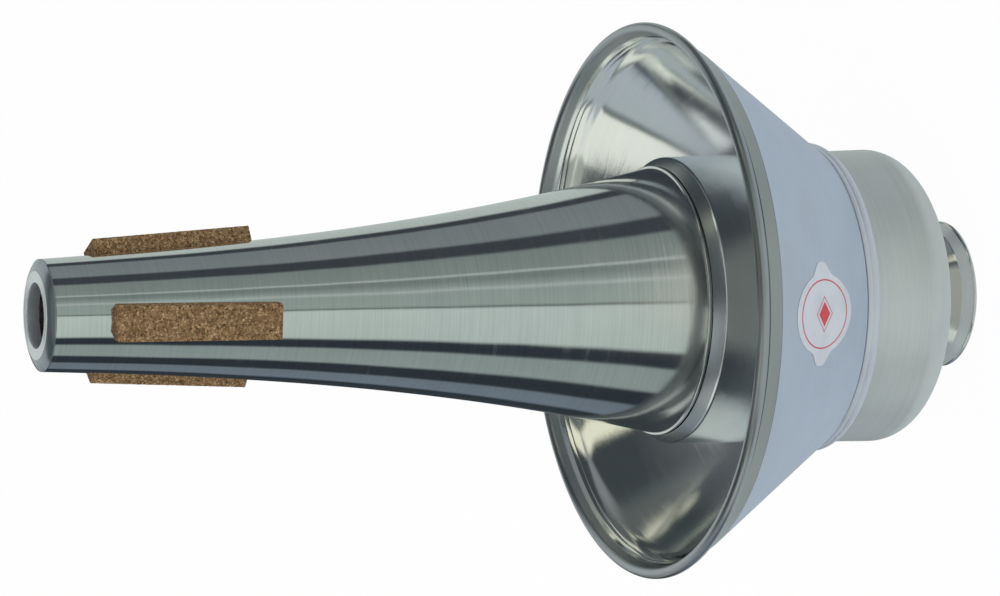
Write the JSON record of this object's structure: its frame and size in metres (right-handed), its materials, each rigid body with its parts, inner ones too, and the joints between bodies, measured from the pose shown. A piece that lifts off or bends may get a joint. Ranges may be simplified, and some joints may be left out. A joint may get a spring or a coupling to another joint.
{
  "type": "trombone mute",
  "caption": "Spun aluminium trombone mute with a tapered corked stem, a sliding cup around its chamber and a pull-out flared rear tube.",
  "frame": {"origin": "centre of the flat rim of the rear tube's flared end, on which the mute stands", "axes": "+Z along the mute's axis from the flared end to the nose; one cork strip faces nearly -Y"},
  "size_m": [0.1546, 0.1546, 0.2685],
  "materials": {
    "turned_nose": "fine turned",
    "polished_stem": "polished, with fine spin lines",
    "cork": "pressed cork granules",
    "spun_chamber": "polished at the front, satin at the rear",
    "socket_metal": "satin",
    "collar_metal": "satin, brushed round",
    "spun_cup": "satin, brushed round",
    "tube_metal": "drawn, half polished",
    "flare_metal": "half polished"
  },
  "bodies": {
    "mute_body": {"nose_ring": "turned_nose", "stem_shell": "polished_stem", "cork_strip_1": "cork", "cork_strip_2": "cork", "cork_strip_3": "cork", "chamber_shell": "spun_chamber", "tube_socket": "socket_metal"},
    "collar": {"cup_collar": "collar_metal"},
    "cup": {"cup_cone": "spun_cup"},
    "rear_tube": {"slide_tube": "tube_metal", "flared_end": "flare_metal"}
  },
  "joints": [
    {"name": "cup_slide", "type": "slide", "parent": "mute_body", "child": "collar", "axis": [0, 0, 1], "range_m": [0, 0.24]},
    {"name": "cup_turn", "type": "hinge", "parent": "collar", "child": "cup", "pos_m": [0, 0, 0.0447], "axis": [0, 0, 1], "continuous": true},
    {"name": "tube_slide", "type": "slide", "parent": "mute_body", "child": "rear_tube", "axis": [0, 0, -1], "range_m": [0, 0.105]}
  ]
}
